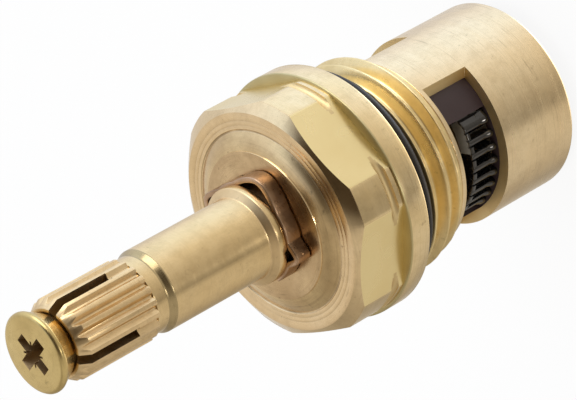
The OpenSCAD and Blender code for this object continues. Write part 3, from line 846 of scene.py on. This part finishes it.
SCREW_TIP = 46.55
SCREW_R = 2.0
SCREW_SINK = 57.05
SCREW_TOP = 60.25
SCREW_SIDES = 120
TIP_EDGE_R = 0.2
TIP_EDGE_Z = 0.25
SCREW_HEAD = [(2.7, 57.78), (3.05, 58.3), (3.74, 59.56), (3.82, 59.67), (3.85, 59.78), (3.85, 59.9),
              (3.82, 60.03), (3.73, 60.15), (3.6, 60.22), (3.44, SCREW_TOP)]
SCREW_OUTLINE = [(0, SCREW_TIP), (SCREW_R - TIP_EDGE_R, SCREW_TIP), (SCREW_R, SCREW_TIP + TIP_EDGE_Z),
                 (SCREW_R, SCREW_SINK), *SCREW_HEAD, (0, SCREW_TOP)]
RECESS_TURN = -2
# Cross arms and ticks of the recess, with foot as the share of the length at the bottom
ARM = {"length": 4.0, "width": 1.15, "depth": 2.0, "foot": 0.6}
TICK = {"length": 2.7, "width": 0.24, "depth": 0.4, "foot": 0.8}
ARM_NARROWS = 0.72
ARM_LIFT = 0.2
ARM_SPLAY = 0.02
RECESS_Z = 58
RECESS_R = 2.3


def tapered_bar(turn, length, width, depth, foot):
    """Recess arm that narrows towards its bottom, to cut with."""
    bm = bmesh.new()
    rows = [(length * foot, width * ARM_NARROWS, SCREW_TOP - depth),
            (length * (1 + ARM_SPLAY), width, SCREW_TOP + ARM_LIFT)]
    rings = [[bm.verts.new((x * long / 2, y * wide / 2, z)) for x, y in ((-1, -1), (1, -1), (1, 1), (-1, 1))]
             for long, wide, z in rows]
    bm.faces.new(rings[0][::-1])
    bm.faces.new(rings[1])
    for i in range(4):
        k = (i + 1) % 4
        bm.faces.new((rings[0][i], rings[0][k], rings[1][k], rings[1][i]))
    bmesh.ops.rotate(bm, cent=(0, 0, 0), matrix=Matrix.Rotation(rad(turn), 3, "Z"), verts=bm.verts)
    return finish_mesh(bm, "cutter")


def screw_finish(face, r, z):
    """Painted shade in the recess."""
    return RECESS_SHADE_BRASS if RECESS_Z < z < SCREW_TOP - NEAR and r < RECESS_R else SCREW_BRASS


screw = turned("handle_screw_brass", lambda angle: SCREW_OUTLINE, even(SCREW_SIDES))
arms = [tapered_bar(RECESS_TURN + turn, **ARM) for turn in (0, 90)]
ticks = [tapered_bar(RECESS_TURN + turn, **TICK) for turn in (45, 135)]
cut(screw, arms + ticks)
stands_for(screw, "spindle", "handle_screw")
paint(screw, [SCREW_BRASS, RECESS_SHADE_BRASS], screw_finish)


# Sprung three-eared clip in the journal's groove

CLIP_T = 0.55
CLIP_SEAT = 4.72
CLIP_ROUND = 0.12
CLIP_ROUND_STEPS = 3
CLIP_ENDS = (-88, 185)
CLIP_STEP = 2.5
CLIP_TURN = SPINDLE_TURN - 45
CLIP_SHARP = 40
# Each ear: its turn on the clip, how far out it reaches and half its width in degrees
EARS = [(-45, 5.95, 14), (38, 6.05, 36), (127, 6.0, 24)]
# How an ear runs out: the power of its curve, and how much and how widely its tip is blunted
EAR_CURVE = 1.15
EAR_BLUNT = 0.12
EAR_TIP = 0.12


def clip_path():
    """Middle line of the strip: round the groove, and out to the ears."""
    points = []
    for i in range(int((CLIP_ENDS[1] - CLIP_ENDS[0]) / CLIP_STEP) + 1):
        turn = CLIP_ENDS[0] + CLIP_STEP * i
        r = CLIP_SEAT
        for place, reach, half in EARS:
            off = min(abs(turn - place) / half, 1)
            blunt = 1 - EAR_BLUNT * math.exp(-(off / EAR_TIP) ** 2)
            r += (reach - CLIP_SEAT) * (1 - off) ** EAR_CURVE * blunt
        a = rad(CLIP_TURN + turn)
        points.append(r * Vector((math.cos(a), math.sin(a))))
    return points


def clip_strip():
    """Strip of one rounded section along the path, closed at both ends."""
    half = CLIP_T / 2
    corners = ((-half, 0), (half, 0), (half, CLIP_W), (-half, CLIP_W))
    section = rounded([(x, y, CLIP_ROUND) for x, y in corners], CLIP_ROUND_STEPS)
    path = clip_path()
    bm = bmesh.new()
    rings = []
    for i, p in enumerate(path):
        ahead = path[min(i + 1, len(path) - 1)] - path[max(i - 1, 0)]
        out = Vector((ahead.y, -ahead.x)).normalized()
        rings.append([bm.verts.new((*(p + out * x), CLIP_Z + y)) for x, y in section])
    for a, b in zip(rings, rings[1:]):
        for i in range(len(section)):
            k = (i + 1) % len(section)
            bm.faces.new((a[i], b[i], b[k], a[k]))
    bm.faces.new(rings[0][::-1])
    bm.faces.new(rings[-1])
    return finish_mesh(bm, "retaining_clip_strip", CLIP_SHARP)


clip = clip_strip()
stands_for(clip, "spindle", "retaining_clip")
clip.data.materials.append(CLIP_BRONZE)


# Comb in the windows: crowned ribs with flared feet under a cap ring

COMB_BORE = 6.55
COMB_RING = 7.4
COMB_Z = 10.52
COMB_TOP = 13.62
CAP_Z = 13.22
CAP_ROUND = 0.12
CAP_KNEE = 0.04
RIB_R = 8.2
RIB_N = 8
RIB_PITCH = 9.7
RIB_W = 0.75
RIB_HALF = math.degrees(RIB_W / 2 / RIB_R)
RIB_CROWN = 0.3
RIB_DROP = 0.22
# How far the rib's face stands back from its widest radius, by height
RIB_FACE = [(0.1, COMB_Z), (0.0, 10.65), (0.01, 10.8), (0.06, 11.0), (0.13, 11.2), (0.19, 11.4),
            (RIB_DROP, 11.6), (RIB_DROP, 13.26)]
# Mesh lines across a rib as shares of its half width, and the two lines of each slot's wall
RIB_SHARES = (-1, -0.93, -0.75, -0.45, 0, 0.45, 0.75, 0.93, 1)
INSIDE = 0.999
OUTSIDE = 1.02
SLOT_STEP = 0.01
# Half the opening between bridges in degrees, and how slowly the outer half of an end rib falls at first
OPEN_HALF = 41.7
OPEN_GAP = 0.05
END_SLOW = 0.4
BEHIND_BRIDGE = 2
BRIDGE_SPAN = 46
BRIDGE_STEP = 4
# Turn from the window's middle at which the painted light on the cap's top begins
PAINTED_LIGHT_FROM = 17.0
TOP_LEVEL = 0.9
COMB_SHARP = 40


def comb_place(angle):
    """Share across a rib from -1 to 1, None in a slot, or BEHIND_BRIDGE.

    The outer half of an end rib is drawn out to the bridge."""
    off = off_turn(angle, BRIDGE_TURN + 90, 180)
    if abs(off) > OPEN_HALF:
        return BEHIND_BRIDGE
    last = (RIB_N - 1) / 2 * RIB_PITCH
    if abs(off) > last:
        share = (abs(off) - last) / RIB_HALF
        return min(1, share - 1 + END_SLOW) if share > 1 else share * END_SLOW
    centre = (round(off / RIB_PITCH - 0.5) + 0.5) * RIB_PITCH
    share = (off - centre) / RIB_HALF
    return share if abs(share) <= 1 else None


def comb_profile(angle):
    place = comb_place(angle)
    if place is None:
        low = CAP_Z
        wall = [(RIB_R - RIB_DROP, CAP_Z + SLOT_STEP * i) for i in range(len(RIB_FACE))]
    else:
        low = COMB_Z
        crown = 0 if place == BEHIND_BRIDGE else RIB_CROWN * (1 - math.sqrt(max(0.0, 1 - place * place)))
        r = (COMB_RING if place == BEHIND_BRIDGE else RIB_R) - crown
        wall = [(r - drop, z) for drop, z in RIB_FACE]
    rim = wall[-1][0]
    return [(COMB_BORE, low), *wall, (rim, COMB_TOP - CAP_ROUND), (rim - CAP_KNEE, COMB_TOP - CAP_KNEE),
            (rim - CAP_ROUND, COMB_TOP), (COMB_BORE, COMB_TOP)]


def comb_angles():
    """Angles that put both walls of each slot and the crown of each rib on mesh lines."""
    spots = set()
    for window in (90, 270):
        for i in range(RIB_N):
            middle = BRIDGE_TURN + window + RIB_PITCH * (i - (RIB_N - 1) / 2)
            spots |= {spot(middle + RIB_HALF * share * INSIDE) for share in RIB_SHARES}
            spots |= {spot(middle + sign * RIB_HALF * OUTSIDE) for sign in (-1, 1)}
        for edge in (-OPEN_HALF, OPEN_HALF):
            spots |= {spot(BRIDGE_TURN + window + edge + gap) for gap in (-OPEN_GAP, OPEN_GAP)}
    for side in (0, 180):
        spots |= {spot(BRIDGE_TURN + side + step)
                  for step in range(-BRIDGE_SPAN, BRIDGE_SPAN + 1, BRIDGE_STEP)}
    return sorted(spots)


def comb_finish(face, r, z):
    """Painted light: a grey patch on the top of the cap at one end of each window."""
    off = off_turn(math.degrees(math.atan2(face.center.y, face.center.x)), BRIDGE_TURN + 90, 180)
    top = face.normal.z > TOP_LEVEL and z > COMB_TOP - MARGIN / 2
    return COMB_CAP_PAINTED_LIGHT if top and PAINTED_LIGHT_FROM < off < OPEN_HALF else COMB_PLASTIC


comb = turned("noise_comb_grid", comb_profile, comb_angles(), COMB_SHARP)
stands_for(comb, "body", "noise_comb")
paint(comb, [COMB_PLASTIC, COMB_CAP_PAINTED_LIGHT], comb_finish)


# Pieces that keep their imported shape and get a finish

FINISHES = {"upper_o_ring": RUBBER, "lower_o_ring": RUBBER, "flange_o_ring": RUBBER, "seat_seal": RUBBER,
            "thrust_washer": SLIP_PLASTIC, "flow_guide": GUIDE_PLASTIC, "moving_disc": CERAMIC,
            "fixed_disc": CERAMIC, "seal_ring": RING_STEEL}
for node, material in FINISHES.items():
    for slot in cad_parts[node].material_slots:
        slot.material = material


# Pale floor that glows to the camera, so that the picture's ground is white and keeps the object's shadow

FLOOR_HALF = 3.0
FLOOR_Z = -0.0001
FLOOR_GREY = (0.86, 0.86, 0.86, 1)
FLOOR_GLOW = 0.9


def floor_white():
    """Diffuse grey, mixed with an even glow for the rays that show the floor itself."""
    material = bpy.data.materials.new("floor_white")
    material.use_nodes = True
    tree = material.node_tree
    tree.nodes.clear()
    diffuse = add(tree, "ShaderNodeBsdfDiffuse")
    diffuse.inputs["Color"].default_value = FLOOR_GREY
    glow = add(tree, "ShaderNodeEmission", Strength=1.0)
    rays = tree.nodes.new("ShaderNodeLightPath").outputs
    seen = math_node(tree, "MAXIMUM", rays["Is Camera Ray"], rays["Is Glossy Ray"])
    seen = math_node(tree, "MAXIMUM", seen, rays["Is Transmission Ray"])
    mix = tree.nodes.new("ShaderNodeMixShader")
    tree.links.new(math_node(tree, "MULTIPLY", seen, FLOOR_GLOW), mix.inputs[0])
    tree.links.new(diffuse.outputs[0], mix.inputs[1])
    tree.links.new(glow.outputs[0], mix.inputs[2])
    output = tree.nodes.new("ShaderNodeOutputMaterial")
    tree.links.new(mix.outputs[0], output.inputs["Surface"])
    return material


corners = [(x * FLOOR_HALF, y * FLOOR_HALF, FLOOR_Z) for x, y in ((-1, -1), (1, -1), (1, 1), (-1, 1))]
floor_mesh = bpy.data.meshes.new("floor")
floor_mesh.from_pydata(corners, [], [(0, 1, 2, 3)])
floor_mesh.materials.append(floor_white())
floor = new_object("floor", floor_mesh)
floor.visible_glossy = False
floor.visible_shadow = False


# Studio round the object: brightness by heading about the axis from the camera's side, with the table's
# edge, the broad cool soft light above, the dark room behind the camera and a rim light from straight below

VIEW_HEADING = -17.2
PALE_LEVEL = 0.9
WARM_SPAN = 0.4
WARM = (1.0, 0.94, 0.84)
SURROUND = [(-180, 0.85), (-158, 0.50), (-140, 0.38), (-120, 0.47), (-100, 0.60), (-80, 0.65), (-60, 0.62),
            (-48, 0.60), (-40, 0.28), (-22, 0.42), (0, 0.57), (20, 0.71), (40, 0.86),
            (60, (0.98, 1.05, 1.18)), (80, (1.04, 1.18, 1.42)), (100, (1.06, 1.22, 1.50)),
            (120, (0.98, 1.08, 1.30)), (140, (0.76, 0.80, 0.90)), (160, (0.76, 0.77, 0.80)), (180, 0.85)]
DARK_SIDE = (0.6595, -0.0253, 0.7513)
ACROSS = (0.2957, 0.9553, 0)
DARK_ROOM = (0.06, 0.045, 0.03)
NADIR = (0, 0, -1)
RIM_LIGHT = 3


def room_colour(level):
    """Colour of the surroundings from a grey level, warmer where it is darker; a colour stays."""
    if isinstance(level, tuple):
        return level
    share = min(1.0, max(0.0, (PALE_LEVEL - level) / WARM_SPAN))
    return tuple(level * (1 + share * (w - 1)) for w in WARM)


def facing(tree, coords, direction):
    """How far a ray's direction agrees with another one."""
    node = add(tree, "ShaderNodeVectorMath", operation="DOT_PRODUCT")
    node.inputs[1].default_value = direction
    tree.links.new(coords.outputs["Generated"], node.inputs[0])
    return node.outputs["Value"]


def make_studio():
    world = bpy.data.worlds.new("studio")
    bpy.context.scene.world = world
    world.use_nodes = True
    tree = world.node_tree
    background = tree.nodes["Background"]
    coords = tree.nodes.new("ShaderNodeTexCoord")
    heading = tree.nodes.new("ShaderNodeMapping")
    heading.vector_type = "POINT"
    heading.inputs["Rotation"].default_value = (0, 0, rad(-VIEW_HEADING))
    tree.links.new(coords.outputs["Generated"], heading.inputs["Vector"])
    radial = add(tree, "ShaderNodeTexGradient", gradient_type="RADIAL")
    tree.links.new(heading.outputs["Vector"], radial.inputs["Vector"])
    stops = [((turn + 180) / 360, room_colour(level)) for turn, level in SURROUND]
    level = ramp(tree, radial.outputs["Fac"], stops)
    near = rise(tree, facing(tree, coords, DARK_SIDE), start=0.62, full=0.84)
    aside = math_node(tree, "ABSOLUTE", facing(tree, coords, ACROSS))
    narrow = ramp(tree, aside, [(0.50, 1.0), (0.78, 0.0)])
    room = math_node(tree, "MULTIPLY", near, narrow)
    tree.links.new(blend(tree, room, level, DARK_ROOM), background.inputs["Color"])
    rim = rise(tree, facing(tree, coords, NADIR), start=0.84, full=0.95)
    strength = math_node(tree, "ADD", math_node(tree, "MULTIPLY", rim, RIM_LIGHT), 1)
    tree.links.new(strength, background.inputs["Strength"])


make_studio()


# Lamps that face the object; a place is along the picture's right, up and back, in metres

LAMP_AIM = Vector((0, 0, 0.03))
KEY = {"place": (-0.25, 0.55, 0.35), "size": 0.5, "power": 2.0}
FILL = {"place": (-0.71, -0.39, 0.58), "size": 1.2, "power": 7.0}
# Small lamp at the camera's right, low enough to miss the turned walls, for glints on the comb and on edges
SPARK = {"place": (0.588, -0.056, 0.540), "size": 0.08, "power": 0.40}


def lamp(name, place, size, power):
    """Square soft light that the camera doesn't see."""
    data = bpy.data.lights.new(name, "AREA")
    data.shape = "SQUARE"
    data.size = size
    data.energy = power
    obj = new_object(name, data)
    obj.location = LAMP_AIM + place[0] * RIGHT + place[1] * UP + place[2] * BACK
    obj.rotation_mode = "QUATERNION"
    obj.rotation_quaternion = (LAMP_AIM - obj.location).to_track_quat("-Z", "Y")
    obj.visible_camera = False
    return obj


lamp("key", **KEY)
fill = lamp("fill", **FILL)
fill.visible_glossy = False
lamp("spark", **SPARK)


# Camera of the photograph

CLIP_NEAR = 0.01
CLIP_FAR = 20

camera_data = bpy.data.cameras.new("camera")
camera_data.sensor_width = SENSOR_WIDTH
camera_data.sensor_fit = "HORIZONTAL"
camera_data.lens = SENSOR_WIDTH * FOCAL_PIXELS / IMAGE_WIDTH
camera_data.clip_start = CLIP_NEAR
camera_data.clip_end = CLIP_FAR
camera = new_object("camera", camera_data)
camera.matrix_world = Matrix.Translation(EYE * MM) @ Matrix((RIGHT, UP, BACK)).transposed().to_4x4()
bpy.context.scene.camera = camera

bpy.context.scene.view_settings.view_transform = "Standard"
